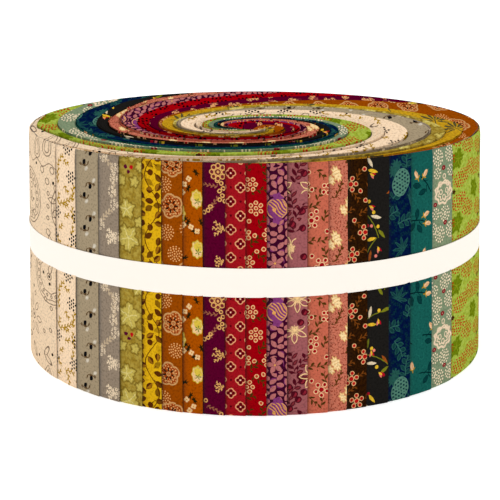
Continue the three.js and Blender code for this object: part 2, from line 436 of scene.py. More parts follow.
def make_turns(fabric, inside, look, seed):
    """The wound plies of one fabric: a closed body from the underside to the top"""
    rng = np.random.default_rng(seed)
    shares = row_shares()
    plies = max(2, round((fabric.inner - inside.inner) / PLY_DEGREES))
    across = (np.arange(plies)[:, None] + PLY_PROFILE[None]).ravel()
    across = np.concatenate([across, [plies]]) / plies
    crest = np.concatenate([np.tile(PLY_CREST, plies), [0]])[None]
    ply = np.minimum((across * plies).astype(int), plies - 1)
    turn = WINDING_TURN * (1 - shares) ** WINDING_POWER
    low, high = bearing(inside, shares), bearing(fabric, shares)
    spread = SEAM_SHARE + (1 - 2 * SEAM_SHARE) * across
    angles = np.radians(low[:, None] + (high - low)[:, None] * spread[None] + turn[:, None])
    x, y = lean(shares[:, None] * np.cos(angles), shares[:, None] * np.sin(angles))
    settle = ease(shares, 0, 4 * CORE_SHARE) * (1 - FLUSH * ease(shares, FLUSH_ZONE, 1))
    offset = rng.uniform(-1, 1, plies)[ply]
    phase = rng.uniform(0, 2 * math.pi, plies)[ply]
    wave = np.sin(np.radians(turn)[:, None] * WAVES_PER_TURN + phase[None])
    relief = TERRACE * (1 - across)[None] + PLY_GROOVE * (1 - crest)
    relief = relief + PLY_UNEVEN * (1 + PLY_OFFSET * offset[None] + PLY_WAVE * wave) * crest
    core_dip = CORE_DIP * (1 - ease(shares, 0, 3 * CORE_SHARE))
    relief = relief * settle[:, None] + core_dip[:, None]
    top_radius, foot_radius = (crowded(shares, winding_line(z)) for z in (STRIP_WIDTH, 0))
    top = np.stack([x * top_radius, y * top_radius, STRIP_WIDTH - relief], -1)
    foot = np.stack([x * foot_radius, y * foot_radius, FOOT_RELIEF * relief], -1)
    points = np.concatenate([top.reshape(-1, 3), foot.reshape(-1, 3)])
    faces = slab_faces(len(shares), len(across))
    maps = turn_maps(top[..., :2], fabric.shift)
    return new_piece(f"turns_{fabric.name}", points, faces, maps, look)


def turn_maps(top, shift):
    """The print lies flat across the drum and runs long towards the back, as in the photograph;
    the map for the painted crease shade starts at a band's inner edge"""
    middle = top[:, top.shape[1] // 2]
    steps = np.linalg.norm(np.diff(middle, axis=0), axis=1)
    along = np.concatenate([[0], np.cumsum(steps)])
    print_map = top / MM / np.array([1.0, TOP_STRETCH]) - np.array(shift)
    # The distance from a band's inner edge, which drives the painted crease shade
    from_edge = np.linalg.norm(top - top[:, :1], axis=-1) + TOP_PAINTED_SHADE_START
    painted_shade_map = np.stack([from_edge, np.repeat(along[:, None], top.shape[1], 1)], -1) / MM
    return {key: np.tile(grid.reshape(-1, 2), (2, 1))
            for key, grid in (("print", print_map), ("crease", painted_shade_map))}


def make_winding(looks):
    """The bands in order round the drum, each from its inner neighbour's edge to its own"""
    first = FABRICS[0]
    bearings = {key: getattr(first, key) + 360 for key in ("rim", "outer", "inner", "core")}
    circle = FABRICS + [first._replace(**bearings)]
    for i in range(1, len(circle)):
        make_turns(circle[i], circle[i - 1], looks[circle[i].name], 300 + i)


def make_paper_band(look):
    """A strip of paper round the waist, its ends glued one over the other at the back"""
    waist = wall_line((BAND_FOOT + BAND_TOP) / 2) - WAIST_DEPTH
    inner = waist + (1 - WAIST_FLAT) * LAP_STEP + PAPER_GAP
    half = PAPER_OVERLAP / 2
    degrees = np.linspace(-half, 360 + half, PAPER_SIDES)
    angle = np.radians(90 + degrees)
    lapped = ease(degrees, 360 - 2 * half, 360 - half)
    radius = inner + (PAPER + PAPER_GAP) * lapped
    z = np.linspace(BAND_FOOT, BAND_TOP, 5)
    skins = []
    for r in (radius + PAPER, radius):
        edge_line = np.stack([r * np.cos(angle), r * np.sin(angle)], -1)
        level = np.repeat(z[:, None, None], len(angle), 1)
        grid = np.concatenate([np.repeat(edge_line[None], len(z), 0), level], -1)
        skins.append(grid.reshape(-1, 3))
    faces = slab_faces(len(z), len(angle))[:, ::-1]
    new_piece("paper_band_strip", np.concatenate(skins), faces, {}, look, "paper_band")


def feed(entry, value):
    """Links what changes over the cloth to a node's entry, or sets a plain value there"""
    if hasattr(value, "socket"):
        entry.id_data.links.new(value.socket, entry)
    elif isinstance(value, tuple) and len(value) < len(entry.default_value):
        entry.default_value = (*value, 1)
    else:
        entry.default_value = value


def add_node(tree, kind, *values, **settings):
    """A shader node of a kind, with its settings, and its first entries fed in order"""
    node = tree.nodes.new(f"ShaderNode{kind}")
    for key, value in settings.items():
        setattr(node, key, value)
    for entry, value in zip(node.inputs, values):
        feed(entry, value)
    return node


class Varied:
    """Something that changes over the cloth, worked out by nodes"""

    def __init__(self, socket):
        self.socket = socket

    def node(self, kind, *values, **settings):
        return add_node(self.socket.id_data, kind, *values, **settings)


class Amount(Varied):
    """A number or colour that changes over the cloth"""

    def math(self, operation, *others, clamp=False):
        node = self.node("Math", self, *others, operation=operation, use_clamp=clamp)
        return Amount(node.outputs[0])

    def __add__(self, other):
        return self.math("ADD", other)

    def __sub__(self, other):
        return self.math("SUBTRACT", other)

    def __mul__(self, other):
        return self.math("MULTIPLY", other)

    def __neg__(self):
        return self.math("MULTIPLY", -1.0)

    def __abs__(self):
        return self.math("ABSOLUTE")

    def times_plus(self, factor, term, clamp=False):
        return self.math("MULTIPLY_ADD", factor, term, clamp=clamp)

    def wrap(self, width):
        return self.math("WRAP", width / 2, -width / 2)


class Spot(Varied):
    """The cloth seen from one place on it: u runs to the right, v runs up, in mm"""

    parts = None

    def vector(self, operation, *others):
        return Spot(self.node("VectorMath", self, *others, operation=operation).outputs[0])

    def part(self, i):
        if self.parts is None:
            self.parts = self.node("SeparateXYZ", self).outputs
        return Amount(self.parts[i])

    @property
    def u(self):
        return self.part(0)

    @property
    def v(self):
        return self.part(1)

    def made_of(self, u, v):
        return Spot(self.node("CombineXYZ", u, v).outputs[0])

    def moved(self, x, y=0.0):
        return self.vector("SUBTRACT", (x, y, 0.0))

    def scaled(self, x, y):
        return self.vector("MULTIPLY", (1 / x, 1 / y, 0.0))

    def wrapped(self, width, height):
        top = (width / 2, height / 2, 1.0)
        return self.vector("WRAP", top, tuple(-t for t in top))

    def turned(self, degrees):
        """Seen along a u axis that is turned by these degrees"""
        node = self.node("VectorRotate", self, rotation_type="Z_AXIS")
        feed(node.inputs["Angle"], degrees * -math.radians(1))
        return Spot(node.outputs[0])

    def length(self):
        node = self.node("VectorMath", self, operation="LENGTH")
        return Amount(node.outputs["Value"])

    def petal(self, count):
        """Seen along the middle of the nearest of some petals round the spot"""
        angle = self.v.math("ARCTAN2", self.u)
        folded = angle.wrap(2 * math.pi / count)
        return self.turned((angle - folded) * math.degrees(1))

    def bowed(self, length, rise):
        """Seen from a bow of this length whose middle rises"""
        if not rise:
            return self
        slope = self.u * self.u
        return self.made_of(self.u, slope.times_plus(4 * rise / length**2, self.v) - rise)

    def waved(self, period, rise):
        """Seen from a line that goes up and down in waves"""
        wave = (self.u * (2 * math.pi / period)).math("SINE")
        return self.made_of(self.u, wave.times_plus(rise, self.v))

    def grid(self, width, height, drop=0.5):
        """Seen from the nearest of many places in columns, each column a little lower"""
        u = self.u.wrap(width)
        v = (self.u - u).times_plus(drop * height / width, self.v)
        return self.made_of(u, v.wrap(height))

    def scattered(self, width, height, jitter):
        """Like grid, but each place is moved and turned by chance; its chances come too"""
        near = self.grid(width, height)
        cell = self.vector("SUBTRACT", near)
        cell = cell.vector("MULTIPLY_ADD", (1 / width, 2 / height, 0.0), (0.25,) * 3)
        node = self.node("TexWhiteNoise", cell.vector("FLOOR"), noise_dimensions="2D")
        chance = Spot(node.outputs["Color"])
        offset = chance.moved(0.5, 0.5).vector("MULTIPLY", (jitter, jitter, 0.0))
        return near.vector("SUBTRACT", offset).turned(chance.u * 360), chance


def both(*distances):
    """Where every one of these shapes is: distances are in mm, negative inside a shape"""
    result = distances[0]
    for other in distances[1:]:
        result = result.math("MAXIMUM", other)
    return result


def either(*distances):
    result = distances[0]
    for other in distances[1:]:
        result = result.math("MINIMUM", other)
    return result


def nearest(spots):
    """The cloth seen from whichever of these spots is nearest"""
    best = spots[0]
    for other in spots[1:]:
        nearer = other.length().math("LESS_THAN", best.length())
        node = best.node("Mix", nearer, data_type="VECTOR")
        feed(node.inputs[4], best)
        feed(node.inputs[5], other)
        best = Spot(node.outputs[1])
    return best


def disc(spot, radius):
    return spot.length() - radius


def ring(spot, radius, line):
    return abs(spot.length() - radius) - line


def outline(distance, line):
    return abs(distance) - line


def oval(spot, length, width):
    return (spot.scaled(length / 2, width / 2).length() - 1.0) * (min(length, width) / 2)


def leaf(spot, length, width):
    """A leaf with two points, its length along u"""
    return (spot.u * spot.u).times_plus(2 * width / length**2, abs(spot.v)) - width / 2


def teardrop(spot, radius):
    """A round end at the spot and a point along u, as a paisley has"""
    point = both(leaf(spot, 6 * radius, 2 * radius), -spot.u)
    return either(disc(spot, radius), point)


def petals(spot, count, reach, radius):
    return disc(spot.petal(count).moved(reach), radius)


def leaves_round(spot, count, reach, length, width):
    """Leaves that point away from the spot"""
    return leaf(spot.petal(count).moved(reach), length, width)


def lobed(spot, radius, lobes, depth):
    """A round shape with a wavy edge"""
    wave = (spot.v.math("ARCTAN2", spot.u) * lobes).math("COSINE")
    return wave.times_plus(-radius * depth, spot.length()) - radius


def maple(spot, radius):
    """A leaf with five toothed lobes"""
    angle = spot.v.math("ARCTAN2", spot.u)
    lobes = angle.math("COSINE").times_plus(0.6, (angle * 5.0).math("COSINE"))
    wave = (angle * 13.0).math("COSINE").times_plus(0.5, lobes)
    return wave.times_plus(-radius * 0.16, spot.length()) - radius * 0.9


def stem(spot, length, line=0.1):
    return both(abs(spot.v) - line, abs(spot.u) - length / 2)


def sprig(spot, length, bow=0.0, pitch=1.0, leaf_size=(0.85, 0.36), splay=38.0, line=0.09):
    """A bowed stem with leaves by turns on its two sides"""
    bent = spot.bowed(length, bow)
    side = bent.v.math("GREATER_THAN", 0.0)
    beside = bent.made_of(side.times_plus(pitch / 2, bent.u).wrap(pitch), abs(bent.v))
    leaves = leaf(beside.moved(-0.3 * pitch).turned(splay).moved(leaf_size[0] / 2), *leaf_size)
    return both(either(abs(bent.v) - line, leaves), abs(bent.u) - length / 2)


def stipple(spot, width, height, pitch, radius):
    """A patch of little dots"""
    dot = spot.grid(pitch, pitch)
    return both(disc(dot, radius), oval(spot.vector("SUBTRACT", dot), width, height))


def posy(spot, width, height, pitch):
    """A patch of tiny blossoms"""
    near, _ = spot.scattered(pitch, pitch, 0.35 * pitch)
    return both(petals(near, 5, 0.27 * pitch, 0.15 * pitch), oval(spot, width, height))


class Cloth:
    """One printed cotton: a ground colour and the motifs laid over it, repeat after repeat"""

    def __init__(self, name, ground, repeat, wobble=0.12, crease=DARK_PAINTED_SHADE):
        self.look = bpy.data.materials.new(name)
        self.look.use_nodes = True
        self.tree = self.look.node_tree
        self.shader = self.tree.nodes["Principled BSDF"]
        self.repeat = repeat
        # The colour of the shade painted in the cloth's creases
        self.crease = crease
        self.flat = self.chart("print")
        shift = Spot(self.noise(0.9, 1.0, "Color")).moved(0.5, 0.5)
        self.place = shift.vector("MULTIPLY_ADD", (2 * wobble, 2 * wobble, 0.0), self.flat)
        self.colour = linear(ground)

    def chart(self, name):
        return Spot(add_node(self.tree, "UVMap", uv_map=name).outputs[0])

    def noise(self, scale, detail=2.0, output=0):
        node = add_node(self.tree, "TexNoise", self.flat, noise_dimensions="2D")
        node.inputs["Scale"].default_value = scale
        node.inputs["Detail"].default_value = detail
        return node.outputs[output]

    def spot(self, x, y, turn=0):
        spot = self.place.moved(x, y).wrapped(*self.repeat)
        return spot.turned(turn) if turn else spot

    def at(self, *places):
        """Seen from the nearest of these places in the repeat: x, y and, if turned, degrees"""
        return nearest([self.spot(*place) for place in places])

    def fan(self, x, y, aim, reach, spread=34):
        """Seen from the nearest of three places that spread from one, each turned outwards"""
        turns = [(turn, math.radians(turn)) for turn in (aim - spread, aim, aim + spread)]
        return self.at(*[(x + reach * math.cos(a), y + reach * math.sin(a), turn) for turn, a in turns])

    def mix(self, colour, factor):
        node = add_node(self.tree, "Mix", factor, data_type="RGBA")
        feed(node.inputs[6], self.colour)
        feed(node.inputs[7], colour)
        self.colour = Amount(node.outputs[2])

    def lay(self, rgb, *shapes, soft=0.1):
        """Prints a colour over whatever is there, inside these shapes"""
        self.mix(linear(rgb), either(*shapes).times_plus(-1 / soft, 0.5, clamp=True))

    def lay_rimmed(self, rim, fill, width, *shapes):
        """Prints shapes in one colour with a rim in another"""
        shape = either(*shapes)
        self.lay(rim, shape)
        self.lay(fill, shape + width)

    def mottle(self, rgb, scale, low=0.35, high=0.65):
        """Clouds of a second ground colour"""
        cloud = Amount(self.noise(scale))
        self.mix(linear(rgb), cloud.times_plus(1 / (high - low), -low / (high - low), clamp=True))

    def finish(self):
        """Painted shade in the creases, uneven dye and the weave, then the cloth's own finish"""
        # Painted shade: the colour darkens towards a lap's tucked edge and a band's inner edge, where a
        # neighbour's edge would shade it
        crease = (self.chart("crease").u * -PAINTED_SHADE_FADE).math("EXPONENT")
        self.mix(self.crease, crease.math("MULTIPLY", PAINTED_SHADE_MIX, clamp=True))
        dye = Amount(self.noise(DYE_SCALE, 3.0))
        self.mix((0.0, 0.0, 0.0), dye.times_plus(DYE_SHADE, DYE_START, clamp=True))
        feed(self.shader.inputs["Base Color"], self.colour)
        self.shader.inputs["Roughness"].default_value = ROUGHNESS
        self.shader.inputs["Specular IOR Level"].default_value = 0.0
        thread = 2 * math.pi / THREAD_PITCH
        weave = (self.flat.u * thread).math("SINE") * (self.flat.v * thread).math("SINE")
        bump = add_node(self.tree, "Bump")
        bump.inputs["Strength"].default_value = WEAVE_STRENGTH
        bump.inputs["Distance"].default_value = WEAVE_DEPTH
        feed(bump.inputs["Height"], weave)
        self.tree.links.new(bump.outputs[0], self.shader.inputs["Normal"])
        return self.look


def cream_rings():
    """Daisies, drops, beaded arcs and rings drawn in one thin line, with black dots"""
    cloth = Cloth("cream_rings", (233, 206, 173), (20, 63.5), crease=PALE_PAINTED_SHADE)
    line, half = (118, 98, 80), 0.125
    daisy = cloth.at((18.1, 13.4), (9, 33.4), (13, 48, 20))
    cloth.lay(line, ring(daisy, 1.2, half), outline(leaves_round(daisy, 7, 3.9, 3.2, 1.5), half))
    shell = cloth.at((7.7, 27.5), (16.2, 46.6))
    beads = outline(petals(shell, 18, 5.4, 0.34), half)
    cloth.lay(line, ring(shell, 0.9, half), outline(lobed(shell, 4.5, 9, 0.03), half),
              outline(lobed(shell, 6.4, 11, 0.03), half), beads, ring(shell, 7.4, half))
    drop = teardrop(cloth.at((1.4, 60, 90), (6.8, 61.6, 90), (12.6, 58.2, 80)), 1.05)
    cloth.lay(line, outline(drop, half), outline(drop - 0.9, half))
    hill = cloth.place.moved(3.2, 57.2).wrapped(20, 63.5).waved(6.66, 0.7)
    cloth.lay(line, abs(hill.v) - half)
    bean = oval(cloth.at((6.1, 6.1, 55), (6.7, 4.1, -30), (19.2, 3.8, -55), (14.1, 6.1, 20),
                         (11.8, 18.6, 70), (13.4, 25.4, 20)), 3.6, 1.3)
    cloth.lay(line, outline(bean, half))
    large = ring(cloth.at((4.6, 55.6), (7, 53), (7.4, 39.5), (9.1, 56.3), (13.4, 52.8)), 0.85, half)
    small = ring(cloth.at((7.5, 49.9), (7.4, 46.4), (7.3, 43.3), (17.9, 42.7), (5, 11.4),
                          (8.5, 19), (5.9, 20.7), (19.6, 19.9), (8, 12.7)), 0.52, half)
    cloth.lay(line, large, small)
    cloth.lay((20, 14, 12), disc(cloth.at(
        (15.6, 28.9), (5, 27.8), (7.7, 27.5), (7.9, 25.5), (18.4, 21.6), (18.1, 13.4), (2, 3.3),
        (8.7, 6.2), (1.1, 56.5), (9.6, 53.1), (18.7, 46), (13.3, 42.7), (15.5, 37.1)), 0.43))
    return cloth.finish()


def cream_vine():
    """Gold sprigs and patches of black dots"""
    cloth = Cloth("cream_vine", (242, 213, 179), (9.6, 33.4), crease=PALE_PAINTED_SHADE)
    gold = (166, 126, 0)
    twig = dict(pitch=1.6, leaf_size=(1.3, 0.5), line=0.13)
    short = cloth.at((5.6, 26, -15), (5.6, 19, -40), (1.6, 16.5, 60), (5.3, 14.9, -10),
                     (5.9, 12.2, 15), (8.5, 8.8, 70), (1.3, 5.2, -40), (1.3, 2.2, 25), (2.7, 8.8, 28))
    middle = cloth.at((2.6, 26.4, 47), (1.4, 22.3, 85), (8.9, 18.6, 82), (8.7, 13, 100),
                      (6.8, 3.9, 3), (6, 1.8, -75))
    cloth.lay(gold, sprig(short, 2.8, 0.15, **twig), sprig(middle, 4.5, 0.2, **twig))
    cloth.lay(gold, sprig(cloth.at((5.2, 16.4, 22)), 8.2, -0.5, **twig))
    patch = cloth.at((7.9, 22.6), (6.3, 29.8), (0.6, 12.6), (8.9, 6.4))
    cloth.lay((16, 12, 12), stipple(patch, 4, 3.4, 0.92, 0.33))
    return cloth.finish()


def grey_buds():
    """Black buds on bent brown twigs, by turns upright and hanging"""
    cloth = Cloth("grey_buds", (161, 144, 116), (8.8, 8.4), crease=PALE_PAINTED_SHADE)
    bud = cloth.at((3.7, 2), (6.05, 4.4, 180))
    twig = both(ring(bud.moved(0.1, 1.2), 2.15, 0.12), bud.v + 0.2, abs(bud.moved(0.1).u) - 1.7)
    barbs = either(leaf(bud.moved(-1.5, -0.75).turned(-35), 1.1, 0.4),
                   leaf(bud.moved(1.6, -0.1).turned(60), 1.2, 0.45))
    cloth.lay((92, 68, 42), twig, barbs, leaf(bud.moved(0.1, -0.75).turned(25), 1.5, 0.45))
    smudge = oval(cloth.at((4.6, 0.4, 35), (7.5, 6.1, 35)), 1.4, 0.85)
    cloth.lay((206, 196, 178), smudge, soft=0.35)
    cloth.lay((16, 14, 16), leaf(bud.turned(50), 1.7, 1.2))
    return cloth.finish()


def grey_sprays():
    """Pale blossoms in clumps, joined by leafy twigs"""
    cloth = Cloth("grey_sprays", (143, 127, 109), (9, 33), crease=PALE_PAINTED_SHADE)
    pale, bright = (190, 168, 138), (230, 208, 176)
    twigs = cloth.at((2.7, 15, 42), (3.6, 28.4, -40), (5.6, 23, 95))
    cloth.lay(pale, sprig(twigs, 5.6, 0.2, 1.25, (1.2, 0.55)))
    fan = either(sprig(cloth.fan(5.9, 10, 180, 1.6), 3.2, 0, 0.9, (1, 0.42)),
                 sprig(cloth.fan(5.6, 2.4, 190, 1.6), 3.2, 0, 0.9, (1, 0.42)))
    cloth.lay(bright, fan)
    clump = cloth.at((5.5, 24.8), (4.9, 21.4), (5.6, 18.2), (0.9, 12.6), (1.9, 30), (6, 27.2),
                     (6, 9.8), (6, 2.2))
    cloth.lay(bright, posy(clump, 2.7, 3.5, 1.15))
    return cloth.finish()


def olive_leaves():
    """Maple leaves in tones of the ground, with three berries"""
    cloth = Cloth("olive_leaves", (147, 120, 38), (8, 42.5), wobble=0.3)
    cloth.mottle((170, 147, 62), 0.8)
    big = cloth.at((2.8, 23.3, 10), (3.1, 0.9, 195))
    small = cloth.at((0.7, 15.2, 30), (4.9, 15, 150), (6.3, 5, 80), (6.6, 19, 200))
    middle = cloth.at((2.3, 8, 25), (6, 31, 100), (2.2, 34.6, 60))
    leaves = either(maple(big, 3.3), maple(middle, 2.4), maple(small, 1.4))
    cloth.lay((104, 80, 10), leaves - 0.3, soft=0.5)
    cloth.lay((192, 172, 82), leaves + 0.1, soft=0.6)
    veins = either(both(abs(big.petal(5).v) - 0.1, big.length() - 2.7),
                   both(abs(middle.petal(5).v) - 0.1, middle.length() - 1.9))
    cloth.lay((218, 204, 132), veins, soft=0.2)
    cloth.lay((84, 10, 44), oval(cloth.at((2.1, 18.6, 20), (3, 17.4, 20)), 1.15, 0.95))
    cloth.lay((180, 18, 24), oval(cloth.at((3.9, 18.6, 20)), 1.15, 0.95))
    return cloth.finish()


def yellow_vine():
    """Brown leaves and berries, half of each in a lighter brown, along winding stems"""
    cloth = Cloth("yellow_vine", (216, 168, 20), (7.05, 31.85))
    dark, light = (84, 40, 8), (156, 104, 20)
    vine = cloth.place.turned(90)
    cloth.lay(dark, abs(vine.moved(0, -3).waved(15.9, 2).v) - 0.14)
    near, chance = cloth.place.scattered(2.35, 2.275, 0.6)
    leaves = both(leaf(near, 2.5, 1.5), chance.part(2) - 0.74, -chance.part(2) + 0.12)
    berries = both(disc(near, 0.8), -chance.part(2) + 0.74)
    shapes = either(leaves, berries)
    cloth.lay(dark, shapes, both(stem(near.moved(-1.2), 1.6, 0.12), -chance.part(2) + 0.12))
    cloth.lay(light, both(shapes + 0.14, near.v - 0.1), soft=0.12)
    return cloth.finish()


def rust_scallops():
    """Scalloped flowers filled with dots, and bursts of dots between them"""
    cloth = Cloth("rust_scallops", (146, 68, 2), (9, 63.5))
    beige, fill, pale = (198, 148, 92), (150, 60, 6), (226, 164, 100)
    flower = cloth.at((3.3, 23), (1.9, 9.7, 20), (3.2, -0.8, 50), (2.8, 52.4, 35), (2.6, 62.9),
                      (7.4, 36))
    edge = either(petals(flower, 5, 1.5, 1.7), disc(flower, 1.5))
    cloth.lay_rimmed(beige, fill, 0.42, edge)
    fleck, _ = flower.scattered(0.72, 0.72, 0.15)
    cloth.lay(pale, both(disc(fleck, 0.2), edge + 0.55, -flower.length() + 1.1))
    cloth.lay(beige, both(outline(petals(flower.turned(36), 5, 1, 0.95), 0.1), flower.v - 0.5))
    cloth.lay((40, 22, 12), both(leaves_round(flower.turned(20), 7, 1.2, 1.3, 0.42),
                                 -flower.length() + 0.7))
    cloth.lay(beige, ring(flower, 0.5, 0.14))
    burst = cloth.at((0.9, 28.6), (3.9, 16), (0.5, 3.2), (3.7, 40.6), (1.5, 45.8), (0.9, 57.6),
                     (8, 28), (7, 47))
    cloth.lay(pale, petals(burst, 7, 0.75, 0.19), petals(burst.turned(10), 11, 1.3, 0.2),
              petals(burst, 14, 1.85, 0.19), disc(burst, 0.22))
    return cloth.finish()


def orange_blossom():
    """Tall cream blossoms rimmed in yellow-green, and chains of small ones with dark leaves"""
    cloth = Cloth("orange_blossom", (163, 75, 0), (9, 31.8))
    cream, dark = (232, 192, 136), (38, 28, 8)
    blades = cloth.at((3.6, 29.2, -60), (1.6, 25.3, 60), (0.6, 17.6, 30), (3.1, 14.7, -40),
                      (1.5, 16.9, 65), (2, 4.6, 50), (3.1, 3.5, -65), (0.5, 8, 10),
                      (4.9, 17.2, -70), (8, 28, 30), (7.6, 5, -60))
    cloth.lay(dark, leaf(blades, 2.4, 0.46), leaf(blades.turned(40), 2.1, 0.42),
              leaf(blades.turned(-38), 1.9, 0.38))
    small = cloth.at((1.7, 27.6, 10), (0.6, 26.2, 40), (0.1, 24.2), (0.3, 16.2), (2.3, 15.8, 20),
                     (3.9, 14.8, 40), (1, 3.5), (2.9, 1.9, 30), (1.8, 0.7, 10), (7, 12))
    cloth.lay(cream, petals(small, 4, 0.42, 0.35))
    cloth.lay((196, 120, 40), disc(small, 0.17))
    large = cloth.at((3.9, 10.3), (3.8, 22.7), (8.2, 19))
    shape = lobed(large.scaled(0.8, 1.15), 2, 8, 0.07)
    cloth.lay_rimmed((190, 162, 40), cream, 0.26, shape)
    cloth.lay((212, 184, 64), both(disc(large.moved(0.4, 0.8), 1.3), shape + 0.4), soft=0.4)
    cloth.lay((84, 116, 34), leaves_round(large.moved(0.2, -0.6), 5, 0.5, 0.9, 0.26))
    return cloth.finish()


def plum_gold():
    """Gold loops, flowers and feathery sprays"""
    cloth = Cloth("plum_gold", (84, 2, 38), (8.6, 31.9))
    gold, dull = (222, 168, 96), (158, 98, 66)
    fine = dict(pitch=1, leaf_size=(0.85, 0.32), line=0.075)
    cloth.lay(dull, sprig(cloth.at((1.9, 26.2, 172), (3, 21.8, 58), (2.8, 1.5, -25)), 3.8, 0.1, **fine))
    spray = either(sprig(cloth.fan(5.4, 15.6, 180, 1.5), 3, 0, **fine),
                   sprig(cloth.fan(5.2, 7.4, 180, 1.1), 2.2, 0, **fine))
    cloth.lay(gold, spray)
    loops = cloth.at((4.7, 26.7), (5.2, 25.5), (4.3, 24.8), (5, 23.7), (4.3, 22.7), (3.7, 27.3),
                     (5.6, 22.4), (0.4, 19.5), (1.4, 20), (0.7, 3.7), (4.6, 0.4), (2, 20.9))
    cloth.lay(gold, ring(loops, 0.42, 0.14))
    flower = cloth.at((3.9, 29.4))
    cloth.lay_rimmed(gold, (112, 36, 44), 0.24, petals(flower, 8, 1.55, 0.68), disc(flower, 0.95))
    cloth.lay(gold, disc(flower, 0.36))
    return cloth.finish()


def crimson_crosses():
    """Rimmed crosses of four round petals"""
    cloth = Cloth("crimson_crosses", (156, 18, 28), (4.8, 6.9))
    cross = cloth.at((1.5, 5.9), (3.9, 2.45))
    cloth.lay((224, 162, 114), petals(cross, 4, 0.6, 0.76))
    cloth.lay((158, 14, 28), petals(cross, 4, 0.6, 0.5))
    cloth.lay((92, 2, 14), petals(cross, 4, 0.62, 0.4))
    cloth.lay((244, 204, 170), disc(cross, 0.2))
    cloth.lay((86, 4, 16), disc(cloth.at((1.5, 2.45), (3.9, 5.9)), 0.26))
    return cloth.finish()


def red_rosettes():
    """Rosettes of small rimmed discs, single discs and thin green twigs"""
    cloth = Cloth("red_rosettes", (152, 0, 12), (7, 31.6))
    green, cream, inner = (60, 48, 8), (238, 192, 134), (180, 64, 36)
    twigs = cloth.at((3.4, 25.2, 8), (4.4, 17.9, 45), (2.6, 12.9, 32), (3.4, 9.2, -35), (0.9, 4.7, 15),
                     (4.4, 1, 80), (1, 0.3, 75), (5.4, 28.8, 100))
    cloth.lay(green, sprig(twigs, 3.6, 0.25, 1.7, (1.35, 0.46), 42, 0.09))
    flower = cloth.at((1.2, 26.8), (2.6, 21, 30), (0.4, 7.6), (6, 14.5))
    cloth.lay_rimmed(cream, inner, 0.2, petals(flower, 6, 1.38, 0.54), disc(flower, 0.52))
    single = cloth.at((0.9, 17.8), (0.8, 15.1), (2.3, 14.3), (0.8, 13.7), (4.5, 10.9), (2.8, 10.4),
                      (3.9, 3.4), (5.6, 5.6))
    cloth.lay_rimmed(cream, inner, 0.2, disc(single, 0.56))
    return cloth.finish()


def purple_petals():
    """Loose petals all over, a star and a large striped bloom"""
    ground = (58, 6, 36)
    cloth = Cloth("purple_petals", ground, (7, 25.7))
    mauve, violet, gold = (180, 106, 104), (122, 46, 98), (222, 158, 84)
    near, chance = cloth.place.scattered(1.75, 1.9769, 0.35)
    cloth.lay(violet, both(leaf(near.moved(0.25, 0.3), 2.2, 1.2), chance.part(2) - 0.4))
    cloth.lay(mauve, leaf(near, 2.25, 1.2))
    star = cloth.at((2.1, 13.2, 30))
    cloth.lay(ground, disc(star, 2.1))
    cloth.lay(mauve, leaves_round(star, 5, 1.25, 2.2, 1.2))
    cloth.lay(gold, disc(star, 0.26))
    bloom = cloth.at((2.6, 1.1))
    cloth.lay(ground, disc(bloom, 3.1))
    cloth.lay((128, 56, 112), disc(bloom, 2.75), lobed(bloom.moved(0.2, 2.6), 1.2, 5, 0.15),
              lobed(bloom.moved(0, -2.7), 1.1, 5, 0.15))
    stripes = abs(bloom.turned(-48).waved(4, 0.2).grid(50, 0.74, 0).v) - 0.14
    cloth.lay(gold, both(stripes, disc(bloom, 2.3), -bloom.turned(-48).v - 1),
              both(ring(bloom, 2.5, 0.12), abs(bloom.v) - 2.2), disc(bloom.moved(-0.7, -0.3), 0.45))
    return cloth.finish()


def mauve_bows():
    """Looped bows in dashed cream lines, dark twigs and round berries"""
    cloth = Cloth("mauve_bows", (154, 88, 90), (8, 63.5))
    wine, pale_wine, cream = (78, 12, 26), (130, 48, 54), (240, 200, 140)
    trees = cloth.at((1.8, 13.5, 100), (3.2, 8.6, 55), (1.6, 54, 100), (3, 61.5, 70), (3.6, 12.8, 62),
                     (0.8, 4.4, 100), (3.2, 51.2, 60), (0.9, 49.4, 110), (7, 30, 80))
    twig = sprig(trees, 6, 0.4, 1.7, (1.95, 0.95), 48, 0.09)
    cloth.lay(wine, twig)
    cloth.lay(pale_wine, both(twig + 0.26, trees.v - 0.3), soft=0.2)
    berry = cloth.at((3.8, 8.8), (0.5, 7.4), (1.9, 5.4), (4.2, 5.9), (0.7, 1.7), (2.8, 4), (3.4, 23.9),
                     (4.4, 26.4), (3.8, 51.7), (1.3, 48.5), (3.9, 47.5), (4.2, 40.4), (4.2, 60.9))
    cloth.lay(wine, disc(berry, 0.9))
    cloth.lay((140, 34, 48), both(disc(berry, 0.6), berry.turned(60).v))
    bow = cloth.at((1.9, 21.9, 90), (2.6, 29.8, 90), (0.8, 42.6, -10), (6.2, 57, -90), (6.4, 10))
    loops = outline(leaves_round(bow, 6, 1.9, 2.9, 1.3), 0.13)
    streaks = both(abs(bow.petal(12).v) - 0.09, bow.length() - 1.3)
    dashes = abs(bow.length().wrap(0.44)) - 0.16
    cloth.lay(cream, both(loops, bow.u - 1), both(streaks, dashes), disc(bow, 0.4))
    return cloth.finish()


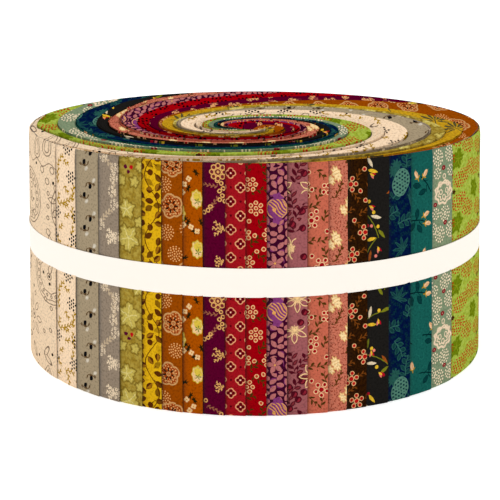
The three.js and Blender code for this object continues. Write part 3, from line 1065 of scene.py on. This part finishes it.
def pink_berries():
    """Clusters of rimmed red berries and dark leafy twigs"""
    cloth = Cloth("pink_berries", (194, 100, 76), (7, 31.8))
    vine, cream, red = (78, 52, 12), (242, 198, 148), (158, 14, 22)
    twigs = cloth.at((3.3, 28.6, -50), (3.3, 23.6, 60), (0.8, 25, -20), (4.8, 18.4, 70), (0.8, 12, 20),
                     (4, 12.2, 8), (4.8, 9.4, 105), (1.4, 3.2, -50), (4, 2.6, 75), (1.9, 20.8, 15),
                     (6.6, 29, 60), (6.6, 15, 30))
    cloth.lay(vine, sprig(twigs, 2.9, 0.25, 1.8, (1.5, 0.55), 40, 0.1))
    cluster = cloth.at((1, 17.4, 20), (3.7, 6.2, 55), (6.6, 25))
    cloth.lay_rimmed(cream, red, 0.19, petals(cluster, 5, 1.5, 0.62))
    cloth.lay_rimmed(cream, red, 0.2, disc(cluster, 0.8))
    single = cloth.at((4.3, 25.9), (4.2, 24.3), (5, 14.6), (2.3, 19.6), (0.3, 29.3), (1.2, 8.6))
    cloth.lay_rimmed(cream, red, 0.19, disc(single, 0.6))
    return cloth.finish()


def pink_sprays():
    """Cream plumes on brown stems over a speckled ground"""
    cloth = Cloth("pink_sprays", (198, 114, 90), (8.6, 15.95))
    cloth.mottle((142, 58, 40), 2.3, 0.575, 0.63)
    spray = cloth.at((1.9, 11.4), (5.3, 3.6, -8))
    cloth.lay((86, 52, 12), sprig(spray.moved(0.7, -2.6).turned(66), 5, -0.35, 1.6, (1.1, 0.42), 45, 0.15))
    plume = either(lobed(spray.moved(0.3, 1.1).turned(116).scaled(1.85, 1), 1, 9, 0.16),
                   lobed(spray.moved(-1.2, -0.3).turned(128).scaled(1.7, 1), 0.75, 7, 0.18))
    cloth.lay((220, 172, 104), plume - 0.1)
    cloth.lay((248, 216, 160), plume + 0.12, soft=0.2)
    cloth.lay((216, 164, 100), both(abs(spray.moved(0.3, 1.1).turned(116).grid(0.8, 50).u) - 0.08,
                                    plume + 0.35))
    return cloth.finish()


def brown_berries():
    """Rimmed red flowers and rust twigs on dark brown"""
    cloth = Cloth("brown_berries", (47, 24, 5), (7.6, 31.9))
    bark, rim, red = (116, 62, 18), (236, 180, 126), (176, 22, 20)
    cloth.mottle((34, 16, 6), 1.6, 0.45, 0.6)
    twigs = cloth.at((2.3, 22.4, -55), (3.3, 28, 60), (4.6, 18.5, 20), (0.6, 18.8, 30), (3.9, 8.6, 20),
                     (1.4, 5, 30), (0.7, 11.8, 20), (6.2, 25.6, 70), (6.4, 3.4, 40), (3.2, 15.2, -40))
    cloth.lay(bark, sprig(twigs, 3, 0.2, 1.35, (1.2, 0.34), 38, 0.09))
    cluster = cloth.at((0.9, 25.6), (5, 13.4, 36), (1.3, 8, 10), (2.8, 2, 20))
    cloth.lay_rimmed(rim, red, 0.18, petals(cluster, 5, 1.45, 0.62))
    cloth.lay_rimmed(rim, red, 0.18, disc(cluster, 0.76))
    single = cloth.at((4.7, 29.1), (3.6, 23.8), (5, 21.4), (2, 16.6))
    cloth.lay_rimmed(rim, red, 0.17, disc(single, 0.6))
    return cloth.finish()


def black_sprigs():
    """Long bent stems with leaves, buds and small berries in several colours"""
    cloth = Cloth("black_sprigs", (29, 27, 25), (9, 63.5))
    green, yellow, white = (120, 122, 26), (228, 184, 46), (226, 206, 172)
    bend = cloth.at((3.2, 23.7, 14), (3.2, 12, -28), (1.8, 46.2, -62), (1.3, 41, 55), (7, 33, 60))
    cloth.lay(green, stem(bend.bowed(7, 0.5), 7, 0.13))
    cloth.lay(green, leaf(cloth.at((5.6, 24.8, 20), (3.9, 29.9, -60), (4.3, 44.4, -48), (5.2, 9, 35),
                                   (0.3, 16.4, 75), (7.4, 36, 20)), 3, 0.9))
    cloth.lay(white, leaf(cloth.at((1, 24.6, 78), (1.4, 11.3, -5), (2.6, 48.8, -14), (0.8, 62.6, -62),
                                   (6.4, 31, -30)), 3.2, 0.85))
    cloth.lay(yellow, leaf(cloth.at((1.4, 21.4, -3), (1.2, 43.3, 10), (1.6, 1.9, -52),
                                    (1.6, 60.3, -15)), 3, 0.9))
    cloth.lay((150, 76, 24), leaf(cloth.at((5.3, 11.8, -52), (0.9, 39, 80), (7, 55, 30)), 3, 0.75))
    tuft = cloth.at((0.9, 51.6, -30), (3.3, 41, -70), (1, 59.6, -30), (3.8, 8.4, -40), (3.4, 22.4, -80),
                    (1.4, 14.4, -80))
    side = tuft.v.math("GREATER_THAN", 0)
    petal = leaf(tuft.made_of(tuft.u, abs(tuft.v)).turned(24).moved(0.7), 1.7, 0.6)
    cloth.lay((176, 14, 36), both(petal, side.times_plus(-4, 2)))
    cloth.lay((226, 122, 104), both(petal, side.times_plus(4, -2)))
    cloth.lay(yellow, leaf(tuft.moved(0.4), 1.5, 0.5),
              disc(cloth.at((3.6, 24.8), (1.5, 15.2), (3, 10.1), (3.2, 46.3), (1.9, 50),
                            (0.6, 52.8)), 0.46))
    cloth.lay((172, 14, 36), disc(cloth.at((5, 7.7), (0.2, 46.8), (0.6, 3.4)), 0.42))
    cloth.lay((228, 126, 110), disc(cloth.at((2.2, 14.6), (1.3, 46.6), (2.6, 38.9)), 0.4))
    return cloth.finish()


def navy_fruit():
    """Tonal leaves and a netted fruit on navy"""
    cloth = Cloth("navy_fruit", (2, 14, 56), (9.5, 54))
    mid, deep, pale = (36, 84, 76), (10, 42, 54), (80, 126, 108)
    cloth.mottle((4, 24, 58), 1.2)
    filler, _ = cloth.place.scattered(1.9, 2.25, 0.8)
    cloth.lay(deep, sprig(filler, 2.2, 0.15, 0.8, (0.8, 0.36)))
    foliage = cloth.at((1, 19.4, 10), (3.4, 13.6, -60), (0.8, 48.4, 30), (6.2, 8.8, 80),
                       (5.6, 46.6, 10), (7.6, 24, 60), (3.4, 0.6, 45))
    shape = sprig(foliage, 5.4, 0.3, 1.8, (2.3, 1.3), 50, 0.14)
    fan = cloth.at((3.2, 27, 60), (4.6, 39.6, 140), (2.2, 59, 60), (7.4, 33, 70), (7.2, 52, 20))
    fronds = both(leaves_round(fan, 9, 1.7, 3.2, 0.8), -fan.u - 0.6)
    cloth.lay(mid, shape, fronds)
    cloth.lay((18, 58, 60), shape + 0.22, fronds + 0.16)
    cloth.lay((50, 98, 88), stem(foliage.bowed(5.4, 0.3), 5.4, 0.08))
    crown = cloth.at((2.4, 7), (1.5, 59.6))
    cloth.lay(mid, both(leaves_round(crown, 9, 0.9, 1.9, 0.6), crown.length() - 1.7))
    head = cloth.at((4.3, 3.2), (3.6, 56)).scaled(0.95, 1.12)
    cloth.lay(pale, disc(head, 2.6))
    cell = head.grid(0.94, 0.88)
    cloth.lay((10, 44, 54), both(abs(cell.u) - 0.3, abs(cell.v) - 0.2, disc(head, 2.35)))
    return cloth.finish()


def teal_tulips():
    """Peach buds in gold cups on dark stems, over a tonal ground"""
    cloth = Cloth("teal_tulips", (22, 88, 80), (9.6, 63.5))
    dark, shade, peach, gold = (2, 32, 36), (8, 56, 56), (234, 188, 142), (182, 138, 18)
    swirl, _ = cloth.place.scattered(4.8, 4.233, 1.5)
    cloth.lay((26, 98, 88), both(outline(lobed(swirl, 1.5, 3, 0.3), 0.14), swirl.u - 0.6))
    bend = cloth.at((2.8, 27, -8), (6.6, 4.8, -14), (2.8, 45.8, -8), (5.6, 55, -48), (7.6, 14.8, -15),
                    (8, 35, 60))
    cloth.lay(dark, stem(bend.bowed(6, 0.35), 6, 0.15),
              stem(bend.moved(1, -0.5).turned(-40), 1.8, 0.11),
              stem(bend.moved(-0.8, 0.5).turned(50), 1.8, 0.11))
    leaves = leaf(cloth.at((2.8, 28.9, 95), (3.6, 25.2, -58), (0.7, 25.4, -80), (6, 3.4, 40),
                           (7.6, 6.6, 75), (2.5, 47.8, 82), (3.4, 43.9, -52), (0.8, 44.6, 50),
                           (2.3, 55, -8), (4.4, 53.2, 20), (7, 13.6, -10)), 3, 1.5)
    cloth.lay_rimmed(dark, shade, 0.14, leaves)
    bud = cloth.at((6.2, 28.9, 22), (6.9, 26.4, -3), (8, 17.5, 125), (2.1, 57.8, 118), (5.4, 57.9, 50),
                   (5.9, 47.4, 25), (6.5, 44.9, -5), (5.2, 37.5, 80), (1, 8, 100))
    cup = bud.made_of(bud.u, abs(bud.v)).moved(-1.15)
    cloth.lay(gold, leaf(cup.turned(62).moved(0.35), 1.5, 0.42), stem(bud.moved(-1.5), 0.9, 0.12))
    cloth.lay(peach, oval(bud, 2.05, 1.15))
    cloth.lay((206, 146, 96), leaf(bud.moved(0.2, -0.2), 2, 0.3), soft=0.3)
    return cloth.finish()


def sage_lace():
    """Rosettes of dots, a bloom in thick line and small red seeds"""
    ground = (130, 144, 112)
    cloth = Cloth("sage_lace", ground, (10.4, 38.6), crease=PALE_PAINTED_SHADE)
    lace, dim, thread = (236, 216, 182), (108, 124, 96), (232, 206, 174)
    cloth.mottle((118, 136, 106), 1.6)
    big = cloth.at((6, 28), (2.6, 22.4), (8, 23), (5.9, 7.6), (3.6, 2.4), (8.6, 3), (8.6, 33),
                   (3.4, 34.6))
    small = cloth.at((1.4, 26.4), (2.4, 18.4), (8.4, 18.6), (1.8, 8), (0.8, 4.2), (9.6, 28.6),
                     (5.8, 31.8))
    rows = either(petals(big, 13, 1.95, 0.29), petals(big, 8, 1.2, 0.27), ring(big, 0.45, 0.15),
                  petals(small, 9, 1.3, 0.28), petals(small, 4, 0.55, 0.24))
    cloth.lay(dim, rows - 0.14, soft=0.2)
    cloth.lay(lace, rows)
    bloom = cloth.at((5.2, 13.2))
    shell = lobed(bloom.scaled(2, 1.6), 1.95, 9, 0.08)
    cloth.lay(ground, shell - 0.3)
    cloth.lay(thread, outline(shell + 0.2, 0.2), both(outline(shell + 0.8, 0.15), bloom.v - 0.8))
    cloth.lay(thread, both(outline(oval(bloom.moved(0, 0.8), 5.6, 3.1), 0.2), -bloom.v + 0.2))
    holes = cloth.at((3.9, 13.4), (6.6, 13.6), (5.3, 12), (3.6, 15.4), (6.9, 15.4), (5.4, 17.4))
    cloth.lay(thread, ring(holes, 0.6, 0.15))
    cloth.lay_rimmed((128, 16, 30), (190, 130, 110), 0.42, oval(cloth.at(
        (1.9, 29.9), (5.6, 25.5), (5, 19.6), (9.9, 16.6), (1.5, 10.4), (6, 5.2)), 1.65, 1.2))
    return cloth.finish()


def lime_leaves():
    """Maple leaves between clouds of red-brown dots"""
    cloth = Cloth("lime_leaves", (150, 166, 50), (16.6, 17), crease=LIME_PAINTED_SHADE)
    cloth.mottle((168, 186, 76), 0.9)
    maples = cloth.at((2.4, 8.2, 150), (11.4, 15.6, 210))
    cloth.lay((104, 122, 12), maple(maples.scaled(0.9, 1.1), 2.6), soft=0.25)
    cloth.lay((138, 152, 34), both(abs(maples.petal(5).v) - 0.08, maples.length() - 2.1))
    patch = cloth.at((7, 11.4, -25), (9.8, 4.6, -20), (4.2, 3, 20), (3.2, 13.9, 10), (14.6, 9.4, -25),
                     (14.4, 4))
    dots, _ = patch.scattered(0.86, 0.86, 0.3)
    cloth.lay((176, 42, 16), both(disc(dots, 0.29), oval(patch, 7, 4.6)))
    cloth.lay((70, 40, 12), lobed(cloth.at((0.9, 16.9), (14.9, 7), (15.8, 0.6)), 0.6, 5, 0.2))
    return cloth.finish()


def red_dots():
    """Clusters of black dots on plain red"""
    cloth = Cloth("red_dots", (160, 0, 10), (8.4, 5.2))
    patch = cloth.at((1.6, 1.2, 20), (5.6, 3.9, -15))
    cloth.lay((16, 2, 6), stipple(patch, 4.8, 2.4, 1.1, 0.4))
    return cloth.finish()


def yellow_fronds():
    """Fans of dark fronds on plain yellow"""
    cloth = Cloth("yellow_fronds", (200, 156, 26), (24, 18))
    cloth.mottle((176, 134, 26), 1.4)
    frond = cloth.at((0, 0, 75), (12, 9, 20), (4, -4.5, 110))
    fan = both(leaves_round(frond, 11, 2.5, 3.9, 0.8), -frond.u - 0.4)
    cloth.lay((84, 76, 44), fan, stem(frond.moved(-0.4), 3, 0.14))
    return cloth.finish()


def plum_sprays():
    """Little gold sprays all over plum"""
    cloth = Cloth("plum_sprays", (84, 0, 34), (6, 5))
    near, chance = cloth.place.scattered(6, 4.7, 1.2)
    cloth.lay((222, 156, 100), sprig(near, 3.8, 0.4, 1.05, (1.2, 0.5), 42, 0.11),
              sprig(near.turned(50), 3, 0.3, 1.05, (1.1, 0.46), 42, 0.1))
    cloth.lay((150, 70, 66), both(petals(near.moved(1, 1.6), 5, 0.5, 0.34), chance.part(2) - 0.6))
    return cloth.finish()


def band_paper():
    look = bpy.data.materials.new("band_paper")
    look.use_nodes = True
    shader = look.node_tree.nodes["Principled BSDF"]
    shader.inputs["Base Color"].default_value = (*linear((247, 240, 229)), 1)
    shader.inputs["Roughness"].default_value = 0.7
    return look


PRINTS = [cream_rings, cream_vine, grey_buds, grey_sprays, olive_leaves, yellow_vine, rust_scallops,
          orange_blossom, plum_gold, crimson_crosses, red_rosettes, purple_petals, mauve_bows,
          pink_berries, pink_sprays, brown_berries, black_sprigs, navy_fruit, teal_tulips, sage_lace,
          lime_leaves]

make_camera()
make_floor()
make_light()
looks = {fabric.name: design() for fabric, design in zip(FABRICS, PRINTS)}
make_laps(looks)
# On the top, four bands show other parts of their prints
red = red_dots()
top_looks = dict(crimson_crosses=red, red_rosettes=red, yellow_vine=yellow_fronds(),
                 plum_gold=plum_sprays())
make_winding({**looks, **top_looks})
make_paper_band(band_paper())
